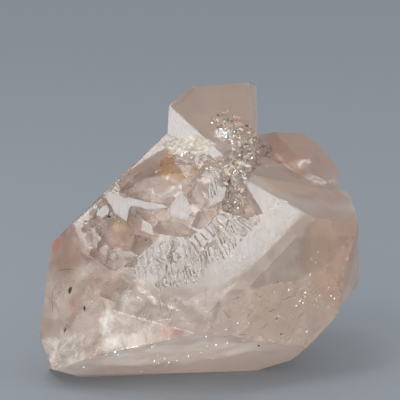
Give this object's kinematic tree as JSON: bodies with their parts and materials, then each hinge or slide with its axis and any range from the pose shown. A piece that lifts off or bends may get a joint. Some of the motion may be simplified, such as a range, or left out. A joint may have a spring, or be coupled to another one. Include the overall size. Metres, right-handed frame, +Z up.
{
  "type": "herkimer diamond",
  "caption": "Clear doubly terminated quartz crystal with smaller crystals grown into its upper end, a skeletal frosted front face and dark specks inside; rests on a small level facet.",
  "frame": {"origin": "on the surface the cluster rests on, under the middle of its box", "axes": "+Z up, +X to the right across the skeletal front face, which looks towards -Y and upwards"},
  "size_m": [0.053, 0.048, 0.0458],
  "materials": {
    "clear_quartz": "vitreous natural faces, faint warm grey body, the front face frosted white beside its skeletal ribs"
  },
  "bodies": {
    "root": {"quartz_cluster": "clear_quartz"}
  },
  "joints": []
}
